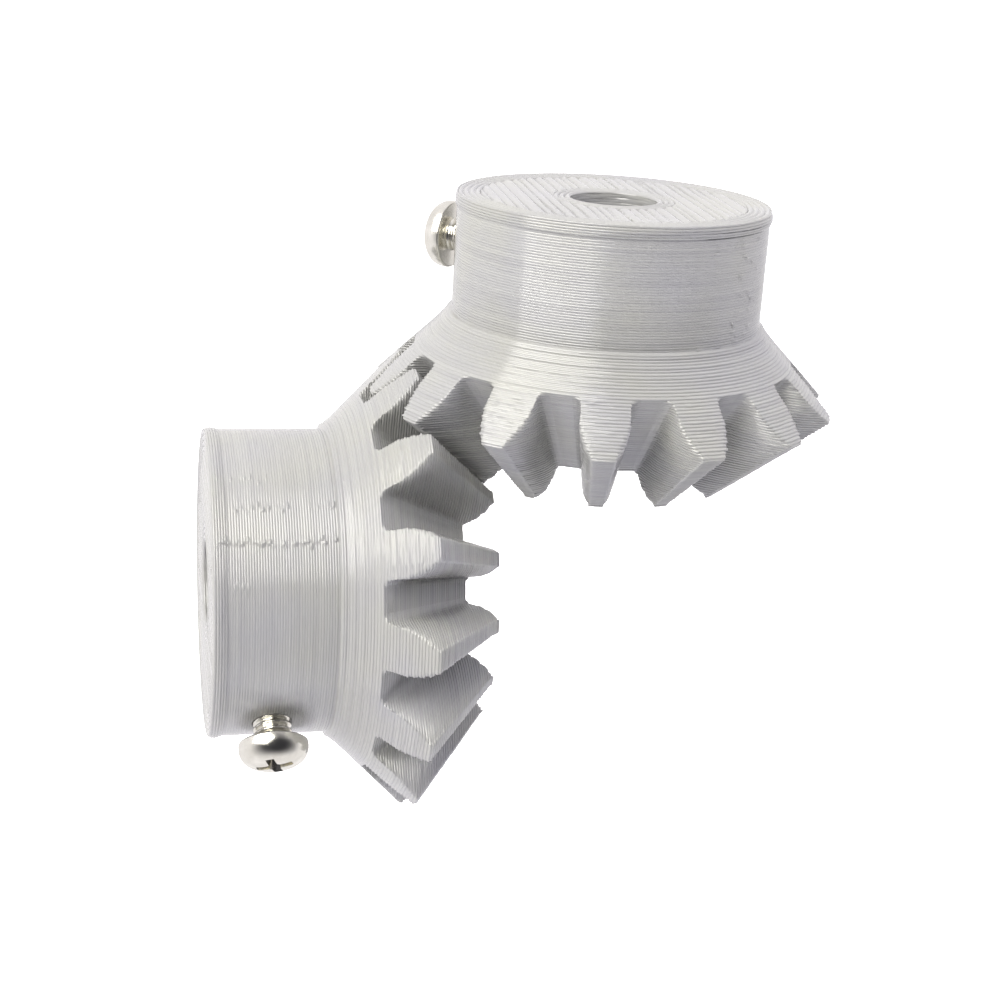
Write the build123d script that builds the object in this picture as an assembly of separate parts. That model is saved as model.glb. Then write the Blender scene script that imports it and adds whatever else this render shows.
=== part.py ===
from build123d import *
import math
import os

os.makedirs("parts", exist_ok=True)

# ---------------------------------------------------------------------------
# Driving dimensions, millimetres and degrees
# Frame: origin where the two shaft axes cross, +Z along the upper shaft,
# -X along the side shaft; each hub points away from the origin.
# ---------------------------------------------------------------------------
TEETH = 14                  # teeth on each gear, ratio 1:1
PITCH_R = 16.6              # pitch radius at the large end
ADDENDUM = 2.35             # along the back cone
DEDENDUM = 2.60             # along the back cone
TOE_SCALE = 0.617           # small end of the teeth as a fraction of the large end
PRESSURE_ANGLE = 14.5
SETBACK = 0.45              # each gear sits this far back from the crossing point
FLANK_THINNING = 0.06       # taken off each flank at the pitch line
HUB_R = 12.0
HUB_END = 30.8              # hub end face, distance from the crossing point
BORE_R = 3.35
RIM_FLARE_R = 12.2          # slightly spread first layers at the hub end
RIM_FLARE_H = 1.0
PHASE_UPPER = -104.0        # rest angle of one upper tooth about +Z
MESH_LEAD = -0.8            # degrees from the centred mesh, inside the backlash

SCREW_R = 1.45              # M3 thread, major radius
SCREW_CORE_R = 1.22
SCREW_PITCH = 0.5
SCREW_SHANK = 10.0          # under the head
SCREW_HOLE_R = 1.55         # radial hole in the hub
HEAD_R = 2.65
HEAD_H = 1.9
SCREW_AXIAL = 26.2          # screw axis, distance from the crossing point
SCREW_HEAD_SEAT = 13.6      # underside of the head, distance from the shaft axis
UPPER_SCREW_ANGLE = 142.0
SIDE_SCREW_ANGLE = -132.5

PITCH_DEG = 360.0 / TEETH
C45 = math.cos(math.radians(45.0))

# --- tooth outline, drawn flat on the developed back cone -------------------
DEV_R = PITCH_R / C45                       # developed pitch radius
DEV_TIP = DEV_R + ADDENDUM
DEV_ROOT = DEV_R - DEDENDUM
DEV_BASE = DEV_R * math.cos(math.radians(PRESSURE_ANGLE))


def inv(a):
    return math.tan(a) - a


def half_width(r):
    """Half the tooth width at developed radius r."""
    base_half = 90.0 / (TEETH / C45)
    th = math.radians(base_half) + inv(math.radians(PRESSURE_ANGLE))
    if r > DEV_BASE:
        th -= inv(math.acos(DEV_BASE / r))
    return r * math.sin(th) - FLANK_THINNING


def tooth_outline():
    """(half width, height from the pitch point) pairs, tip to root."""
    n = 9
    r_lo = DEV_ROOT + 0.75
    flank = []
    for i in range(n):
        r = DEV_TIP + (r_lo - DEV_TIP) * i / (n - 1)
        flank.append((half_width(r), r - DEV_R))
    w = half_width(r_lo)
    flare = [(w + 0.07, DEV_ROOT + 0.42 - DEV_R),
             (w + 0.20, DEV_ROOT + 0.14 - DEV_R),
             (w + 0.50, DEV_ROOT - 0.20 - DEV_R)]
    return flank + flare


OUTLINE = tooth_outline()


def section(scale):
    """Tooth section on the plane square to the pitch line at the given scale."""
    # tooth 0 lies along +X; the pitch line leaves the apex at 45 degrees
    px, pz = PITCH_R * scale, PITCH_R * scale + SETBACK
    out = Vector(C45, 0, -C45)              # towards the tip
    side = Vector(0, 1, 0)
    o = Vector(px, 0, pz)

    def at(w, h):
        return o + side * (w * scale) + out * (h * scale)

    right = [at(w, h) for w, h in OUTLINE]
    left = [at(-w, h) for w, h in OUTLINE]
    floor_h = DEV_ROOT - DEV_R - 0.9
    w_end = OUTLINE[-1][0]
    br, bl = at(w_end, floor_h), at(-w_end, floor_h)
    edges = [Spline(*right), Line(right[-1], br), Line(br, bl),
             Line(bl, left[-1]), Spline(*left[::-1]), Line(left[0], right[0])]
    return Face(Wire(edges))


def revolve_profile(pts):
    """Turn a closed (radius, height) outline about Z."""
    face = Face(Wire.make_polygon([Vector(r, 0, z) for r, z in pts], close=True))
    return revolve(face, Axis.Z, 360)


CONE_SUM = 2 * PITCH_R + SETBACK            # radius + height on the back cone
TOE_SUM = 2 * PITCH_R * TOE_SCALE + SETBACK
ROOT_BACK_R = PITCH_R - DEDENDUM * C45
ROOT_TOE_R = ROOT_BACK_R * TOE_SCALE
ROOT_TOE_Z = TOE_SUM - ROOT_TOE_R


def root_body():
    """Solid under the tooth roots, long enough to be trimmed later."""
    def root(s):
        return ROOT_BACK_R * s, SETBACK + (2 * PITCH_R - ROOT_BACK_R) * s
    r0, z0 = root(0.52)
    r1, z1 = root(1.14)
    return revolve_profile([(0, z0), (r0, z0), (r1, z1), (r1, HUB_END + 2), (0, HUB_END + 2)])


def envelope():
    """Outer limits of the gear: hub, back cone, toe cone, bore and end faces."""
    r_back = PITCH_R + 3.2
    r_toe = PITCH_R * TOE_SCALE + 3.4
    return revolve_profile([
        (BORE_R, HUB_END),
        (RIM_FLARE_R - 0.25, HUB_END),
        (RIM_FLARE_R, HUB_END - 0.25),
        (RIM_FLARE_R, HUB_END - RIM_FLARE_H + 0.1),
        (HUB_R, HUB_END - RIM_FLARE_H),
        (HUB_R, CONE_SUM - HUB_R),
        (r_back, CONE_SUM - r_back),
        (r_toe, TOE_SUM - r_toe),
        (ROOT_TOE_R, ROOT_TOE_Z),
        (BORE_R, ROOT_TOE_Z),
    ])


def make_gear(phase, screw_angle):
    tooth = loft([section(1.12), section(TOE_SCALE - 0.07)], ruled=True)
    teeth = [tooth.rotate(Axis.Z, phase + i * PITCH_DEG) for i in range(TEETH)]
    body = root_body().fuse(*teeth)
    body = body & envelope()
    hole = Pos(0, 0, SCREW_AXIAL) * (Rot(0, 90, 0) * Cylinder(
        SCREW_HOLE_R, HUB_R + 2, align=(Align.CENTER, Align.CENTER, Align.MIN)))
    body = body - hole.rotate(Axis.Z, screw_angle)
    return body


def make_screw():
    """Pan-head machine screw along +Z: head up, underside of the head at z = 0."""
    # ridged thread drawn as turned rings at the thread pitch
    pts = [(0, -SCREW_SHANK), (SCREW_CORE_R - 0.15, -SCREW_SHANK)]
    z = -SCREW_SHANK + 0.2
    while z < -0.75:
        pts += [(SCREW_CORE_R, z), (SCREW_R, z + SCREW_PITCH * 0.42),
                (SCREW_R, z + SCREW_PITCH * 0.58)]
        z += SCREW_PITCH
    pts += [(SCREW_CORE_R, z), (SCREW_CORE_R, 0.0), (HEAD_R - 0.15, 0.0), (HEAD_R, 0.18),
            (HEAD_R, 0.55)]
    # domed head
    for i in range(1, 9):
        a = math.radians(90.0 * i / 8)
        r = (HEAD_R - 0.9) + 0.9 * math.cos(a) if i < 8 else 0.0
        h = 0.55 + (HEAD_H - 0.75) * math.sin(a)
        if i == 8:
            pts.append((HEAD_R - 0.95, h))
        else:
            pts.append((r, h))
    pts.append((0, HEAD_H))
    body = revolve_profile(pts)
    # cross recess: two tapered slots
    for ang in (0, 90):
        slot_hi = Face(Wire.make_polygon([Vector(x, y, HEAD_H + 0.2) for x, y in
                       ((-1.75, -0.36), (1.75, -0.36), (1.75, 0.36), (-1.75, 0.36))], close=True))
        slot_lo = Face(Wire.make_polygon([Vector(x, y, HEAD_H - 1.5) for x, y in
                       ((-0.45, -0.25), (0.45, -0.25), (0.45, 0.25), (-0.45, 0.25))], close=True))
        body = body - loft([slot_lo, slot_hi], ruled=True).rotate(Axis.Z, ang)
    return body


def place_screw(angle):
    s = make_screw()
    # local +Z (head side) turned to radial +X, then swung about the shaft axis
    s = Pos(SCREW_HEAD_SEAT, 0, SCREW_AXIAL) * (Rot(0, 90, 0) * s)
    return s.rotate(Axis.Z, angle)


def to_side(shape):
    """Swing a part built about +Z so that its axis runs along -X."""
    return shape.rotate(Axis.Y, -90)


# tooth of one gear centred in a space of the other, plus the small lead
lead = (PHASE_UPPER + 180.0) % PITCH_DEG
PHASE_SIDE = -(lead + PITCH_DEG / 2 + MESH_LEAD)

upper_gear = make_gear(PHASE_UPPER, UPPER_SCREW_ANGLE)
side_gear = to_side(make_gear(PHASE_SIDE, SIDE_SCREW_ANGLE))
upper_set_screw = place_screw(UPPER_SCREW_ANGLE)
side_set_screw = to_side(place_screw(SIDE_SCREW_ANGLE))
# stand-in marker for the frame that carries both shafts
axis_crossing_datum = Sphere(0.5)

for name, shape in {
    "axis_crossing_datum": axis_crossing_datum,
    "upper_gear": upper_gear,
    "upper_set_screw": upper_set_screw,
    "side_gear": side_gear,
    "side_set_screw": side_set_screw,
}.items():
    export_step(shape if isinstance(shape, (Solid, Part)) else Part(shape.wrapped), "parts/%s.step" % name)
    print(name, round(shape.volume, 3), len(shape.solids()), shape.bounding_box())
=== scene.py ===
import math

import bmesh
import bpy
import numpy as np
from mathutils import Matrix, Vector


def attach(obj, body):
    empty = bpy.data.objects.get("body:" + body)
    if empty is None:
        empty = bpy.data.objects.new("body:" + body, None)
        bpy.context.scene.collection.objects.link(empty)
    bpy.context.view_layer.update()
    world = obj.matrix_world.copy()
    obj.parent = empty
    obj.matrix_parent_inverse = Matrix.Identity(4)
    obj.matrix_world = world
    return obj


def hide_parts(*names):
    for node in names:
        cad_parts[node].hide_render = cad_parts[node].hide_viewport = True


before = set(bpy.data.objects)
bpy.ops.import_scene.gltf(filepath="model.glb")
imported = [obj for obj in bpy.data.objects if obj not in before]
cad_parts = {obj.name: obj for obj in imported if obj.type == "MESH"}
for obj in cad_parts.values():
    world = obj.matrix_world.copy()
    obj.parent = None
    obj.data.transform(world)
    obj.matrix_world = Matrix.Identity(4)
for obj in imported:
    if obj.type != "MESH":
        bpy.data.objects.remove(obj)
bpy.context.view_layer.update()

# ---------------------------------------------------------------------------
# Dimensions repeated from the CAD part, millimetres and degrees
# ---------------------------------------------------------------------------
TEETH = 14
PITCH_R = 16.6
ADDENDUM = 2.35
DEDENDUM = 2.60
TOE_SCALE = 0.617
PRESSURE_ANGLE = 14.5
SETBACK = 0.45
FLANK_THINNING = 0.06
HUB_R = 12.0
HUB_END = 30.8
BORE_R = 3.35
SCREW_AXIAL = 26.2
SCREW_HEAD_SEAT = 13.6
SCREW_HOLE_R = 1.55
SCREW_SHANK = 10.0
SCREW_R = 1.45
SCREW_CORE_R = 1.20
SCREW_PITCH = 0.5
HEAD_R = 2.65
HEAD_H = 1.9
PHASE_UPPER = -104.0
MESH_LEAD = -0.8
UPPER_SCREW_ANGLE = 142.0
SIDE_SCREW_ANGLE = -132.5
PITCH_DEG = 360.0 / TEETH
PHASE_SIDE = -(((PHASE_UPPER + 180.0) % PITCH_DEG) + PITCH_DEG / 2 + MESH_LEAD)
C45 = math.cos(math.radians(45.0))
STROKE_X, STROKE_Y = math.cos(math.radians(-3.0)), math.sin(math.radians(-3.0))   # across the end face's infill
STROKE_PITCH = 0.75
CONE_SUM = 2 * PITCH_R + SETBACK
TOE_SUM = 2 * PITCH_R * TOE_SCALE + SETBACK
DEV_R = PITCH_R / C45
DEV_TIP = DEV_R + ADDENDUM
DEV_ROOT = DEV_R - DEDENDUM
DEV_BASE = DEV_R * math.cos(math.radians(PRESSURE_ANGLE))
ROOT_BACK_R = PITCH_R - DEDENDUM * C45
T_ROOT = ROOT_BACK_R / (2 * PITCH_R - ROOT_BACK_R)
ROOT_TOE_R = ROOT_BACK_R * TOE_SCALE
ROOT_TOE_Z = TOE_SUM - ROOT_TOE_R
LAYER = 0.2
MM = 0.001


def inv(a):
    return math.tan(a) - a


def half_width(r):
    th = math.radians(90.0 / (TEETH / C45)) + inv(math.radians(PRESSURE_ANGLE))
    if r > DEV_BASE:
        th -= inv(math.acos(DEV_BASE / r))
    return r * math.sin(th) - FLANK_THINNING


def tooth_profile():
    """Half tooth as (angle in degrees, tangent of the cone angle), middle of the tip to middle of the space."""
    r_lo = DEV_ROOT + 0.75
    pts = []
    for r in np.linspace(DEV_TIP, r_lo, 7):
        pts.append((half_width(r), r - DEV_R))
    w = half_width(r_lo)
    pts += [(w + 0.05, DEV_ROOT + 0.45 - DEV_R), (w + 0.17, DEV_ROOT + 0.17 - DEV_R),
            (w + 0.40, DEV_ROOT - 0.03 - DEV_R)]
    ang, tan = [], []
    for wd, h in pts:
        x, z = PITCH_R + h * C45, PITCH_R - h * C45
        ang.append(math.degrees(math.atan2(wd, x)))
        tan.append(math.hypot(x, wd) / z)
    tip_a, tip_t = ang[0], tan[0]
    for i in range(1, len(ang)):
        ang[i] = max(ang[i], ang[i - 1] + 0.10)
    # tip land with softly rounded corners
    land = [(0.0, tip_t), (tip_a * 0.45, tip_t), (tip_a * 0.78, tip_t - 0.001),
            (tip_a * 0.93, tip_t - 0.008)]
    flank = [(tip_a + 0.03, tip_t - 0.026)] + [(a, t) for a, t in zip(ang[1:], tan[1:])]
    end = PITCH_DEG / 2
    last = flank[-1][0]
    flank[-1] = (last, max(flank[-1][1], T_ROOT))
    root = [(last + (end - last) * f, T_ROOT) for f in (0.25, 0.5, 0.75, 1.0)]
    return land + flank + root


def columns():
    """All angles round the gear (degrees from tooth 0) and the cone tangent at each."""
    half = tooth_profile()
    a = [-p[0] for p in half[:0:-1]] + [p[0] for p in half]
    t = [p[1] for p in half[:0:-1]] + [p[1] for p in half]
    a, t = np.array(a[:-1]), np.array(t[:-1])      # last point is the next tooth's first
    A = np.concatenate([a + i * PITCH_DEG for i in range(TEETH)])
    T = np.tile(t, TEETH)
    return A, T


GRID = 1440


def smooth_noise(rng, rows, deg, reach):
    """Noise at the given angles, smooth over `reach` degrees and fresh on every layer."""
    n = rng.normal(size=(rows, GRID))
    s = reach * GRID / 360.0
    w = np.exp(-0.5 * (np.minimum(np.arange(GRID), GRID - np.arange(GRID)) / s) ** 2)
    w /= math.sqrt((w ** 2).sum())
    n = np.fft.irfft(np.fft.rfft(n, axis=1) * np.fft.rfft(w), n=GRID, axis=1)
    pos = (np.asarray(deg) % 360.0) * GRID / 360.0
    i = np.floor(pos).astype(int) % GRID
    f = pos - np.floor(pos)
    return n[:, i] * (1 - f) + n[:, (i + 1) % GRID] * f


def gear_object(name, phase, screw_angle, seed, seam, cracks=()):
    rng = np.random.default_rng(seed)
    A, T = columns()
    n = len(A)
    deg = (A + phase) % 360
    ang = np.radians(A + phase)
    ca, sa = np.cos(ang), np.sin(ang)

    # layer boundaries from the hub end (printed first) to the toe (printed last)
    bounds = [HUB_END]
    while bounds[-1] > 9.5:
        bounds.append(bounds[-1] - LAYER)
    bounds = np.array(bounds)
    K = len(bounds) - 1
    mids = (bounds[:-1] + bounds[1:]) / 2

    def outline(z):
        """Outer radius of the slice at height z, one value a column."""
        r = (z - SETBACK) * T
        below = (CONE_SUM - HUB_R) - z
        if below <= 0:
            return np.full(n, HUB_R)
        cone = HUB_R + below + 0.34 * math.exp(-below / 0.5)
        return np.minimum(r, cone)

    base = np.array([outline(z) for z in mids])
    # outward normal of every slice outline, so beads stand off flanks as well as walls
    bx, by = base * ca, base * sa
    tx = np.roll(bx, -1, axis=1) - np.roll(bx, 1, axis=1)
    ty = np.roll(by, -1, axis=1) - np.roll(by, 1, axis=1)
    ln = np.hypot(tx, ty)
    nx, ny = ty / ln, -tx / ln

    on_hub = (mids > CONE_SUM - HUB_R)[:, None]
    jitter = rng.normal(0, 0.0035, (K, 1)) + 0.004 * np.sin(mids * 1.9 + seed)[:, None]
    jitter = np.where(on_hub, jitter, jitter * 1.8)
    wob = smooth_noise(rng, K, deg, 3.0) * 0.0018 + smooth_noise(rng, K, deg, 0.6) * 0.0008
    disp = jitter + wob
    # spread first layers
    for k, out in enumerate((0.06, 0.12, 0.145, 0.13, 0.08)):
        disp[k] = out + 0.018 * smooth_noise(rng, 1, deg, 8.0)[0] + 0.004 * smooth_noise(rng, 1, deg, 1.5)[0]
    # rough tooth corners: the head turns sharply there on every layer
    corner = np.exp(-0.5 * ((T - (T.max() - 0.012)) / 0.018) ** 2)
    inteeth = (mids < (CONE_SUM - ROOT_BACK_R) + 0.3)[:, None]
    disp = disp + inteeth * corner[None, :] * (0.012 + smooth_noise(rng, K, deg, 1.2) * 0.022)
    # seam blobs where each layer starts and stops
    for (a0, spread, z_lo, z_hi, size, chance) in seam:
        for k in range(K):
            if not (z_lo <= mids[k] <= z_hi) or rng.random() > chance:
                continue
            c = a0 + rng.normal(0, spread)
            w = rng.uniform(0.35, 0.85)
            d = (deg - c + 180) % 360 - 180
            h = size * rng.uniform(0.2, 0.8)
            disp[k] += h * np.exp(-0.5 * (d / w) ** 2) - 0.15 * h * np.exp(-0.5 * ((d + 2.1 * w) / w) ** 2)
    cx, cy = bx + nx * disp, by + ny * disp          # crest of every bead

    # last layer that still belongs to each column: the toe end is cut by the toe cone
    z0 = (TOE_SUM + SETBACK * T) / (1 + T)
    z0 = z0 + 0.03 * smooth_noise(rng, 1, deg, 0.8)[0]
    last = np.array([int(np.nonzero(mids >= z - 1e-6)[0].max()) for z in z0])
    root_k = int(np.nonzero(mids >= ROOT_TOE_Z)[0].max())
    last = np.maximum(last, root_k)
    kk = np.arange(n)
    top_x = cx[last, kk] - nx[last, kk] * 0.02
    top_y = cy[last, kk] - ny[last, kk] * 0.02
    top_z = bounds[last + 1]
    top_r = np.hypot(top_x, top_y)

    P = []          # rings of n points

    def ring(x, y, z):
        P.append(np.stack([np.broadcast_to(v, n) for v in (x, y, z)], 1).astype(float))

    def polar(r, z):
        ring(r * ca, r * sa, z)

    polar(base[0] - 0.02, HUB_END)
    for k in range(K):
        fracs = ((0.26, 0.004), (0.74, 0.004))
        gone = k > last
        for frac, sink in fracs:
            z = bounds[k] + (bounds[k + 1] - bounds[k]) * frac
            ring(np.where(gone, top_x, cx[k] - nx[k] * sink), np.where(gone, top_y, cy[k] - ny[k] * sink),
                 np.where(gone, top_z, z))
        if k < K - 1:
            step = np.abs(base[k + 1] - base[k])
            sink = (0.036 if mids[k] > CONE_SUM - HUB_R else 0.044) + 0.10 * np.clip(step - 0.05, 0, 0.2)
            sink = sink + (0.025 if k < 5 else 0)
            past = CONE_SUM - HUB_R - bounds[k + 1]
            if min(abs(past - q) for q in (0.4, 1.0, 1.6)) < 0.11:
                sink = sink + 0.03
            for (c0, spread, z_at, depth) in cracks:
                if abs(bounds[k + 1] - z_at) < LAYER / 2 + 0.001:
                    d = (deg - c0 + 180) % 360 - 180
                    rag = 0.7 + 0.3 * smooth_noise(rng, 1, deg, 1.0)[0]
                    sink = sink + depth * np.exp(-0.5 * (d / spread) ** 4) * np.clip(rag, 0, 1.4)
            mx, my = (cx[k] + cx[k + 1]) / 2 - nx[k] * sink, (cy[k] + cy[k + 1]) / 2 - ny[k] * sink
            gone = (k + 1) > last
            ring(np.where(gone, top_x, mx), np.where(gone, top_y, my), np.where(gone, top_z, bounds[k + 1]))
    # toe cone: a stair of layer tops, from the tooth's end to the flat toe face
    rin = np.array([TOE_SUM - z for z in mids]) + rng.normal(0, 0.012, K)
    for k in range(K - 1, root_k - 1, -1):
        if mids[k] < 9.4:
            continue
        inner = rin[k] + 0.012 * smooth_noise(rng, 1, deg, 2.0)[0]
        inner = np.maximum(inner, ROOT_TOE_R - 0.25)
        gone = (k > last) | (inner + 0.03 > top_r - 0.01)
        ring(np.where(gone, top_x, (inner + 0.03) * ca), np.where(gone, top_y, (inner + 0.03) * sa),
             np.where(gone, top_z, bounds[k + 1]))
        if k > root_k:
            ring(np.where(gone, top_x, inner * ca), np.where(gone, top_y, inner * sa),
                 np.where(gone, top_z, bounds[k] - 0.02))
    toe_z = bounds[root_k + 1]

    # flat toe face with perimeters and infill lines
    x_dir, y_dir = math.cos(math.radians(35)), math.sin(math.radians(35))

    def face_height(r, outer_r, direction, spacing, depth):
        x, y = r * ca, r * sa
        u = x * direction[0] + y * direction[1]
        u = u + 0.10 * np.sin(1.9 * u + seed) + 0.06 * np.sin(3.1 * u) + 0.02 * np.sin(1.1 * y + seed)
        line = np.floor(u / spacing)
        amp = 0.65 + 0.35 * np.sin(line * 12.9898 + seed) * np.sin(line * 4.1414)
        infill = depth * amp * (1 - np.abs(np.sin(math.pi * u / spacing)) ** 0.8)
        n_per = 4
        d_out = outer_r - r
        d_in = r - BORE_R
        per_out = depth * (1 - np.abs(np.sin(math.pi * d_out / 0.45)) ** 0.6)
        per_in = depth * (1 - np.abs(np.sin(math.pi * d_in / 0.45)) ** 0.6)
        h = np.where(d_out < n_per * 0.45, per_out, infill)
        h = np.where(d_in < 3 * 0.45, per_in, h)
        return h

    for r in np.linspace(ROOT_TOE_R - 0.35, BORE_R + 0.08, 26):
        h = face_height(np.full(n, r), ROOT_TOE_R - 0.35, (x_dir, y_dir), 0.5, 0.045)
        polar(r, toe_z + h)
    # bore wall
    near = HUB_END - 0.1 - np.arange(0, 4.0, LAYER / 2)[::-1]
    for i, z in enumerate(np.concatenate([np.linspace(toe_z + 0.08, near[0] - 0.5, 20), near])):
        polar(BORE_R + (0.012 if i % 2 else -0.012) + 0.01 * smooth_noise(rng, 1, deg, 6.0)[0], z)
    # hub end face, perimeters round rim and bore, straight infill lines between
    for r in np.linspace(BORE_R + 0.06, 11.93, 150):
        h = face_height(np.full(n, r), 12.0, (STROKE_X, STROKE_Y), STROKE_PITCH, 0.20)
        polar(r, HUB_END - h - 0.015)

    P = np.array(P)                                   # rings x columns x 3
    R = P.shape[0]
    xyz = P.reshape(-1, 3)
    # weld neighbours in a column that fall on the same point
    index = np.arange(R * n).reshape(R, n)
    rep = index.copy()
    for j in range(1, R):
        same = (np.abs(P[j] - P[j - 1]).max(axis=1) < 1e-7)
        rep[j] = np.where(same, rep[j - 1], index[j])
    used, compact = np.unique(rep, return_inverse=True)
    compact = compact.reshape(R, n)
    verts = xyz[used]
    a = compact
    b = np.roll(compact, -1, axis=1)
    quads = np.stack([b, a, np.roll(a, -1, axis=0), np.roll(b, -1, axis=0)], 2).reshape(-1, 4)
    d1 = quads[:, 1] == quads[:, 2]
    d3 = quads[:, 3] == quads[:, 0]
    good = ~d1 & ~d3
    full = quads[good]
    tri_a = quads[d1 & ~d3][:, [0, 1, 3]]
    tri_b = quads[d3 & ~d1][:, [0, 1, 2]]
    mesh = bpy.data.meshes.new(name)
    nv = len(verts)
    loops = np.concatenate([full.reshape(-1), tri_a.reshape(-1), tri_b.reshape(-1)])
    sizes = np.concatenate([np.full(len(full), 4), np.full(len(tri_a) + len(tri_b), 3)])
    starts = np.concatenate([[0], np.cumsum(sizes)[:-1]])
    mesh.vertices.add(nv)
    mesh.vertices.foreach_set("co", (verts * MM).astype(np.float32).reshape(-1))
    mesh.loops.add(len(loops))
    mesh.loops.foreach_set("vertex_index", loops.astype(np.int32))
    mesh.polygons.add(len(sizes))
    mesh.polygons.foreach_set("loop_start", starts.astype(np.int32))
    mesh.update(calc_edges=True)
    mesh.validate()
    obj = bpy.data.objects.new(name, mesh)
    bpy.context.scene.collection.objects.link(obj)

    # radial screw hole through the hub wall
    th = math.radians(screw_angle)
    d = Vector((math.cos(th), math.sin(th), 0))
    bpy.ops.mesh.primitive_cylinder_add(vertices=48, radius=SCREW_HOLE_R * MM, depth=14 * MM,
                                        location=(d * (8.0 * MM) + Vector((0, 0, SCREW_AXIAL * MM))))
    cutter = bpy.context.active_object
    cutter.rotation_mode = "QUATERNION"
    cutter.rotation_quaternion = d.to_track_quat("Z", "Y")
    mod = obj.modifiers.new("hole", "BOOLEAN")
    mod.operation = "DIFFERENCE"
    mod.solver = "MANIFOLD"
    mod.object = cutter
    dg = bpy.context.evaluated_depsgraph_get()
    dg.update()
    new = bpy.data.meshes.new_from_object(obj.evaluated_get(dg))
    obj.modifiers.clear()
    old = obj.data
    obj.data = new
    bpy.data.meshes.remove(old)
    bpy.data.objects.remove(cutter)
    obj.data.shade_smooth()
    obj.data.name = name
    # the groove between two beads is a crease, the bead itself is round
    bm = bmesh.new()
    bm.from_mesh(obj.data)
    lim = math.radians(16)
    for e in bm.edges:
        if len(e.link_faces) == 2 and not e.is_convex and e.calc_face_angle(0) > lim:
            e.smooth = False
    bm.to_mesh(obj.data)
    bm.free()
    return obj


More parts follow.
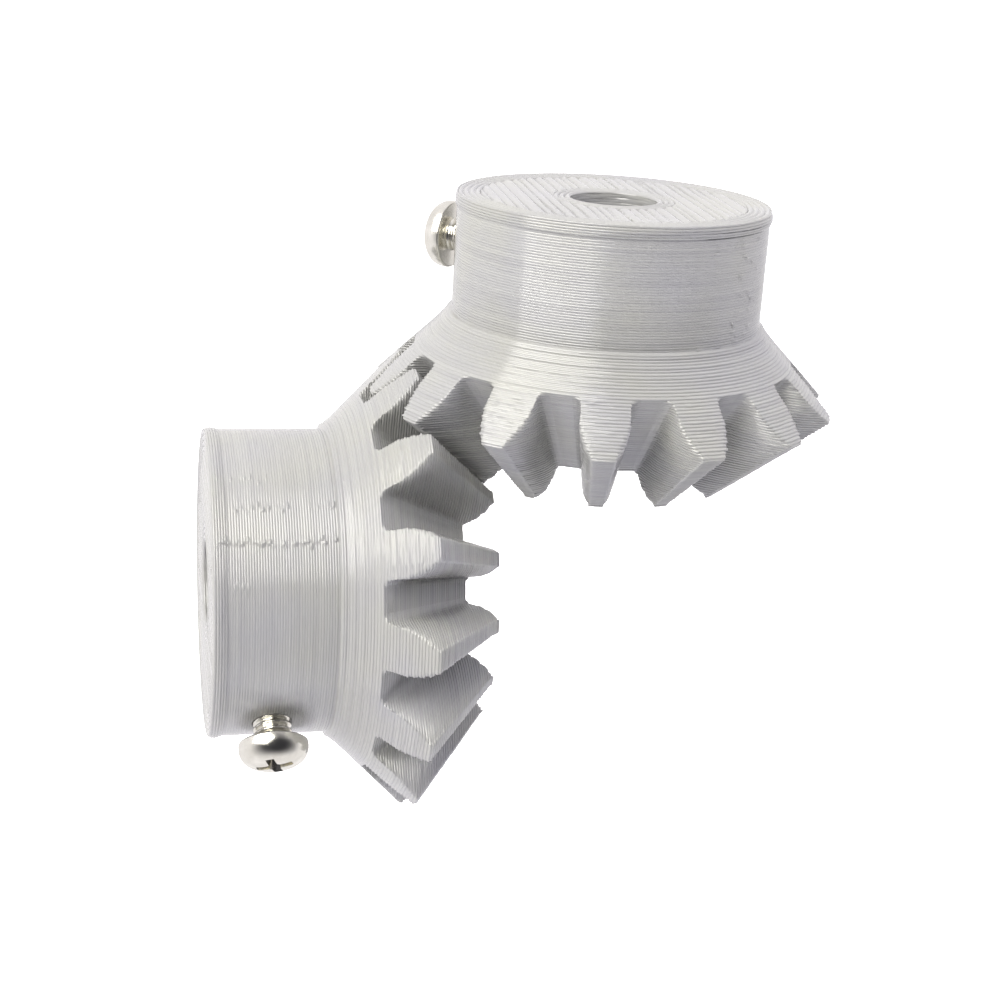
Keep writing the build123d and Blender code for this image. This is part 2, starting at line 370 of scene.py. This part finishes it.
# ---------------------------------------------------------------------------
# Screw: helical thread, pan head, cross recess; local +Z points out of the head
# ---------------------------------------------------------------------------
def screw_object(name):
    m = 64
    phi = np.linspace(0, 2 * math.pi, m, endpoint=False)
    rings = []
    rings.append((np.full(m, 0.02), np.full(m, -SCREW_SHANK)))
    rings.append((np.full(m, SCREW_CORE_R - 0.2), np.full(m, -SCREW_SHANK)))
    zs = np.arange(-SCREW_SHANK + 0.12, -0.30, 0.045)
    for z in zs:
        p = ((z / SCREW_PITCH) - phi / (2 * math.pi)) % 1.0
        ridge = np.clip(1.35 - np.abs(p - 0.5) * 3.1, 0, 1)
        fade = np.clip((z + SCREW_SHANK) / 0.7, 0, 1) * np.clip((-0.32 - z) / 0.25, 0, 1)
        r = SCREW_CORE_R + (SCREW_R - SCREW_CORE_R) * ridge * fade
        rings.append((r, np.full(m, z)))
    rings.append((np.full(m, SCREW_CORE_R + 0.02), np.full(m, -0.16)))
    rings.append((np.full(m, SCREW_CORE_R + 0.10), np.full(m, -0.03)))
    rings.append((np.full(m, SCREW_CORE_R + 0.25), np.full(m, 0.0)))
    rings.append((np.full(m, HEAD_R - 0.20), np.full(m, 0.0)))
    for a in np.linspace(-75, 0, 6):
        rings.append((np.full(m, HEAD_R - 0.16 + 0.16 * math.cos(math.radians(a))),
                      np.full(m, 0.16 + 0.16 * math.sin(math.radians(a)))))
    rings.append((np.full(m, HEAD_R), np.full(m, 0.42)))
    # shoulder then the flatter crown
    for a in np.linspace(8, 90, 26):
        c, s = math.cos(math.radians(a)), math.sin(math.radians(a))
        r = HEAD_R * (c ** 0.62)
        z = 0.42 + (HEAD_H - 0.42) * (s ** 1.0)
        if r < 0.03:
            r = 0.02
        rings.append((np.full(m, r), np.full(m, z)))
    verts, faces = [], []
    for r, z in rings:
        for i in range(m):
            verts.append((r[i] * math.cos(phi[i]) * MM, r[i] * math.sin(phi[i]) * MM, z[i] * MM))
    for j in range(len(rings) - 1):
        for i in range(m):
            a, b = j * m + i, j * m + (i + 1) % m
            faces.append((a, b, b + m, a + m))
    faces.append(tuple(range(m - 1, -1, -1)))
    top = (len(rings) - 1) * m
    faces.append(tuple(top + i for i in range(m)))
    mesh = bpy.data.meshes.new(name)
    mesh.from_pydata(verts, [], faces)
    mesh.update()
    obj = bpy.data.objects.new(name, mesh)
    bpy.context.scene.collection.objects.link(obj)

    # cross recess: four tapered wings and a pointed centre
    bm = bmesh.new()

    def frustum(lo, hi, z_lo, z_hi, rot):
        pts = []
        for (hx, hy), z in ((lo, z_lo), (hi, z_hi)):
            for sx, sy in ((-1, -1), (1, -1), (1, 1), (-1, 1)):
                x, y = sx * hx, sy * hy
                c, s = math.cos(rot), math.sin(rot)
                pts.append(bm.verts.new(((x * c - y * s) * MM, (x * s + y * c) * MM, z * MM)))
        for f in ((3, 2, 1, 0), (4, 5, 6, 7), (0, 1, 5, 4), (1, 2, 6, 5), (2, 3, 7, 6), (3, 0, 4, 7)):
            bm.faces.new([pts[i] for i in f])

    cutters = []
    for k, (lo, hi, z_lo, rot) in enumerate((((0.55, 0.22), (1.62, 0.34), HEAD_H - 1.35, 0.0),
                                             ((0.55, 0.22), (1.62, 0.34), HEAD_H - 1.35, math.pi / 2),
                                             ((0.30, 0.30), (0.62, 0.62), HEAD_H - 1.30, math.pi / 4))):
        bm.clear()
        frustum(lo, hi, z_lo, HEAD_H + 0.25, rot + math.radians(20))
        cm = bpy.data.meshes.new("cut")
        bm.to_mesh(cm)
        co = bpy.data.objects.new("cut%d" % k, cm)
        bpy.context.scene.collection.objects.link(co)
        mod = obj.modifiers.new("cut%d" % k, "BOOLEAN")
        mod.operation = "DIFFERENCE"
        mod.solver = "EXACT"
        mod.object = co
        cutters.append(co)
    bm.free()
    dg = bpy.context.evaluated_depsgraph_get()
    dg.update()
    new = bpy.data.meshes.new_from_object(obj.evaluated_get(dg))
    obj.modifiers.clear()
    obj.data = new
    for c in cutters:
        bpy.data.objects.remove(c)
    obj.data.shade_smooth()
    obj.data.name = name
    # keep the recess edges crisp
    b = bmesh.new()
    b.from_mesh(obj.data)
    for e in b.edges:
        if len(e.link_faces) == 2 and e.calc_face_angle(0) > math.radians(38):
            e.smooth = False
    b.to_mesh(obj.data)
    b.free()
    return obj


def place_screw(obj, angle, side):
    th = math.radians(angle)
    d = Vector((math.cos(th), math.sin(th), 0))
    rot = d.to_track_quat("Z", "Y").to_matrix().to_4x4()
    m = Matrix.Translation((d * SCREW_HEAD_SEAT + Vector((0, 0, SCREW_AXIAL))) * MM) @ rot
    obj.matrix_world = (SIDE_M @ m) if side else m


SIDE_M = Matrix.Rotation(math.radians(-90), 4, "Y")     # local +Z runs along -X


# ---------------------------------------------------------------------------
# Materials
# ---------------------------------------------------------------------------
def new_material(name):
    m = bpy.data.materials.new(name)
    m.use_nodes = True
    nt = m.node_tree
    nt.nodes.clear()
    out = nt.nodes.new("ShaderNodeOutputMaterial")
    bsdf = nt.nodes.new("ShaderNodeBsdfPrincipled")
    nt.links.new(bsdf.outputs["BSDF"], out.inputs["Surface"])
    return m, nt, bsdf


def printed_plastic():
    m, nt, bsdf = new_material("printed_grey_pla")
    N, L = nt.nodes, nt.links
    bsdf.inputs["Roughness"].default_value = 0.13
    bsdf.inputs["IOR"].default_value = 1.50
    bsdf.inputs["Specular IOR Level"].default_value = 1.0
    tc = N.new("ShaderNodeTexCoord")
    # slow variation from layer to layer
    mp = N.new("ShaderNodeMapping")
    mp.inputs["Scale"].default_value = (60, 60, 5000)
    L.new(tc.outputs["Object"], mp.inputs["Vector"])
    n1 = N.new("ShaderNodeTexNoise")
    n1.inputs["Scale"].default_value = 1.0
    n1.inputs["Detail"].default_value = 1.0
    L.new(mp.outputs["Vector"], n1.inputs["Vector"])
    # patchy warm and cool tint
    n2 = N.new("ShaderNodeTexNoise")
    n2.inputs["Scale"].default_value = 180.0
    n2.inputs["Detail"].default_value = 2.0
    L.new(tc.outputs["Object"], n2.inputs["Vector"])
    ramp = N.new("ShaderNodeValToRGB")
    ramp.color_ramp.elements[0].position = 0.30
    ramp.color_ramp.elements[0].color = (0.400, 0.398, 0.396, 1)
    ramp.color_ramp.elements[1].position = 0.70
    ramp.color_ramp.elements[1].color = (0.450, 0.450, 0.436, 1)
    L.new(n1.outputs["Fac"], ramp.inputs["Fac"])
    mix = N.new("ShaderNodeMix")
    mix.data_type = "RGBA"
    mix.blend_type = "MULTIPLY"
    mix.inputs["Factor"].default_value = 1.0
    ramp2 = N.new("ShaderNodeValToRGB")
    ramp2.color_ramp.elements[0].position = 0.35
    ramp2.color_ramp.elements[0].color = (0.97, 0.97, 1.0, 1)
    ramp2.color_ramp.elements[1].position = 0.65
    ramp2.color_ramp.elements[1].color = (1.0, 1.0, 0.975, 1)
    L.new(n2.outputs["Fac"], ramp2.inputs["Fac"])
    L.new(ramp.outputs["Color"], mix.inputs["A"])
    L.new(ramp2.outputs["Color"], mix.inputs["B"])
    L.new(mix.outputs["Result"], bsdf.inputs["Base Color"])
    # fine grain on every bead
    n3 = N.new("ShaderNodeTexNoise")
    n3.inputs["Scale"].default_value = 6000.0
    n3.inputs["Detail"].default_value = 2.0
    L.new(tc.outputs["Object"], n3.inputs["Vector"])
    bump = N.new("ShaderNodeBump")
    bump.inputs["Strength"].default_value = 0.08
    bump.inputs["Distance"].default_value = 0.00003
    L.new(n3.outputs["Fac"], bump.inputs["Height"])

    L.new(bump.outputs["Normal"], bsdf.inputs["Normal"])
    return m


def plated_steel():
    m, nt, bsdf = new_material("plated_steel")
    N, L = nt.nodes, nt.links
    bsdf.inputs["Metallic"].default_value = 1.0
    tc = N.new("ShaderNodeTexCoord")
    n1 = N.new("ShaderNodeTexNoise")
    n1.inputs["Scale"].default_value = 900.0
    n1.inputs["Detail"].default_value = 4.0
    L.new(tc.outputs["Object"], n1.inputs["Vector"])
    ramp = N.new("ShaderNodeValToRGB")
    ramp.color_ramp.elements[0].position = 0.3
    ramp.color_ramp.elements[0].color = (0.74, 0.72, 0.66, 1)
    ramp.color_ramp.elements[1].position = 0.7
    ramp.color_ramp.elements[1].color = (0.88, 0.865, 0.81, 1)
    L.new(n1.outputs["Fac"], ramp.inputs["Fac"])
    L.new(ramp.outputs["Color"], bsdf.inputs["Base Color"])
    rr = N.new("ShaderNodeMapRange")
    rr.inputs["To Min"].default_value = 0.14
    rr.inputs["To Max"].default_value = 0.27
    L.new(n1.outputs["Fac"], rr.inputs["Value"])
    L.new(rr.outputs["Result"], bsdf.inputs["Roughness"])
    bump = N.new("ShaderNodeBump")
    bump.inputs["Strength"].default_value = 0.10
    bump.inputs["Distance"].default_value = 0.00003
    L.new(n1.outputs["Fac"], bump.inputs["Height"])
    L.new(bump.outputs["Normal"], bsdf.inputs["Normal"])
    return m


PLA = printed_plastic()
STEEL = plated_steel()


def finish_with(obj, mat):
    """Leave the mesh with exactly this one material."""
    obj.data.materials.clear()
    obj.data.materials.append(mat)
    obj.data.polygons.foreach_set("material_index", np.zeros(len(obj.data.polygons), dtype=np.int32))
    obj.data.update()

# ---------------------------------------------------------------------------
# Pieces
# ---------------------------------------------------------------------------
upper = gear_object("upper_gear_printed", PHASE_UPPER, UPPER_SCREW_ANGLE, 11,
                    [(-52, 1.5, 21.8, 29.6, 0.22, 0.75), (-44, 2.0, 21.8, 29.6, 0.18, 0.5),
                     (-66, 1.2, 28.6, 30.2, 0.22, 0.7), (-60, 2.0, 28.4, 29.6, 0.16, 0.5),
                     (-70, 1.2, 21.2, 22.6, 0.14, 0.6), (-100, 60, 12, 29.5, 0.05, 0.12)],
                    [(-55, 13, 29.8, 0.22), (-50, 12, 30.2, 0.14), (-60, 14, 21.6, 0.16)])
finish_with(upper, PLA)
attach(upper, "upper")
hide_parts("upper_gear", "axis_crossing_datum")

side = gear_object("side_gear_printed", PHASE_SIDE, SIDE_SCREW_ANGLE, 29,
                   [(-29, 0.8, 26.5, 30.6, 0.16, 0.45), (-42, 1.0, 21.8, 29.2, 0.15, 0.55),
                    (-55, 0.8, 21.8, 30.6, 0.20, 0.85), (-71, 0.9, 28.2, 29.6, 0.16, 0.9),
                    (-80, 60, 12, 29.5, 0.06, 0.10)])
side.matrix_world = SIDE_M
finish_with(side, PLA)
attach(side, "side")
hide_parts("side_gear")

upper_screw = screw_object("upper_screw_plated")
place_screw(upper_screw, UPPER_SCREW_ANGLE, False)
finish_with(upper_screw, STEEL)
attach(upper_screw, "upper_screw")
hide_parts("upper_set_screw")

side_screw = screw_object("side_screw_plated")
place_screw(side_screw, SIDE_SCREW_ANGLE, True)
finish_with(side_screw, STEEL)
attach(side_screw, "side_screw")
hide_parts("side_set_screw")

# ---------------------------------------------------------------------------
# Camera
# ---------------------------------------------------------------------------
CAM = dict(az=-13.225, el=18.636, roll=3.509, dist=142.822, f=1786.3, tx=-7.490, tz=6.458)


def make_camera():
    az, el, roll = (math.radians(CAM[k]) for k in ("az", "el", "roll"))
    d = Vector((math.sin(az) * math.cos(el), -math.cos(az) * math.cos(el), math.sin(el)))
    pos = (Vector((CAM["tx"], 0, CAM["tz"])) + d * CAM["dist"]) * MM
    fwd = -d
    right = fwd.cross(Vector((0, 0, 1))).normalized()
    up = right.cross(fwd)
    r2 = right * math.cos(roll) + up * math.sin(roll)
    u2 = -right * math.sin(roll) + up * math.cos(roll)
    cam = bpy.data.cameras.new("camera")
    cam.sensor_fit = "HORIZONTAL"
    cam.sensor_width = 36.0
    cam.lens = 36.0 * CAM["f"] / 1000.0
    cam.clip_start = 0.01
    cam.clip_end = 100
    ob = bpy.data.objects.new("camera", cam)
    bpy.context.scene.collection.objects.link(ob)
    rot = Matrix((r2, u2, d)).transposed().to_4x4()
    ob.matrix_world = Matrix.Translation(pos) @ rot
    bpy.context.scene.camera = ob
    return ob


make_camera()

# ---------------------------------------------------------------------------
# Studio: pale floor, soft boxes, pale surroundings
# ---------------------------------------------------------------------------
TARGET = Vector((-7.5, 0, 6.5)) * MM


def softbox(name, az, el, dist, w, h, power, colour=(1, 1, 1)):
    """Area light aimed at the object; az counts from -Y towards +X."""
    a, e = math.radians(az), math.radians(el)
    d = Vector((math.sin(a) * math.cos(e), -math.cos(a) * math.cos(e), math.sin(e)))
    li = bpy.data.lights.new(name, "AREA")
    li.shape = "RECTANGLE"
    li.size, li.size_y = w, h
    li.energy = power
    li.color = colour
    ob = bpy.data.objects.new(name, li)
    bpy.context.scene.collection.objects.link(ob)
    ob.visible_camera = False
    z = d
    x = Vector((0, 0, 1)).cross(z).normalized()
    y = z.cross(x)
    ob.matrix_world = Matrix.Translation(TARGET + d * dist) @ Matrix((x, y, z)).transposed().to_4x4()
    return ob


softbox("key", -54, 42, 0.60, 0.60, 0.60, 5.0, (1.0, 0.985, 0.93))
for fill in (softbox("right_fill", 52, 34, 0.60, 0.45, 0.45, 1.9, (0.93, 0.91, 1.0)),
             softbox("low_bounce", -12, -50, 0.60, 0.30, 0.25, 2.0, (0.92, 0.91, 1.0))):
    fill.visible_glossy = False

world = bpy.data.worlds.new("studio")
bpy.context.scene.world = world
world.use_nodes = True
wt = world.node_tree
bg = wt.nodes["Background"]
bg.inputs["Strength"].default_value = 1.0
wc = wt.nodes.new("ShaderNodeTexCoord")
wd = wt.nodes.new("ShaderNodeVectorMath")
wd.operation = "DOT_PRODUCT"
wd.inputs[1].default_value = (0.085, -0.975, 0.205)      # towards the dark end of the room
wr = wt.nodes.new("ShaderNodeValToRGB")
wr.color_ramp.interpolation = "EASE"
wr.color_ramp.elements[0].position = 0.02
wr.color_ramp.elements[0].color = (1.02, 1.00, 1.02, 1)
wr.color_ramp.elements[1].position = 0.90
wr.color_ramp.elements[1].color = (0.06, 0.06, 0.068, 1)
wt.links.new(wc.outputs["Generated"], wd.inputs[0])
wt.links.new(wd.outputs["Value"], wr.inputs["Fac"])
wt.links.new(wr.outputs["Color"], bg.inputs["Color"])

fm, fnt, fb = new_material("floor")
fb.inputs["Base Color"].default_value = (0.95, 0.95, 0.95, 1)
fb.inputs["Roughness"].default_value = 0.9
fb.inputs["Emission Color"].default_value = (1, 1, 1, 1)
fb.inputs["Emission Strength"].default_value = 1.0
bpy.ops.mesh.primitive_circle_add(vertices=96, radius=2.4, fill_type="NGON", location=(0, 0, -0.08))
floor = bpy.context.active_object
floor.name = "floor"
floor.data.materials.append(fm)
bm_, bnt, bb = new_material("backdrop")
bb.inputs["Base Color"].default_value = (0.95, 0.95, 0.95, 1)
bb.inputs["Roughness"].default_value = 0.9
bb.inputs["Emission Color"].default_value = (1, 1, 1, 1)
bb.inputs["Emission Strength"].default_value = 1.0
bpy.ops.mesh.primitive_uv_sphere_add(segments=96, ring_count=48, radius=2.3)
backdrop = bpy.context.active_object
backdrop.name = "backdrop"
backdrop.data.materials.append(bm_)
for ob in (floor, backdrop):
    ob.visible_diffuse = False
    ob.visible_glossy = False
    ob.visible_transmission = False
    ob.visible_shadow = False

bpy.context.scene.view_settings.view_transform = "Standard"
bpy.context.scene.view_settings.look = "None"
bpy.context.scene.view_settings.gamma = 0.85
bpy.context.scene.view_settings.exposure = 0.0
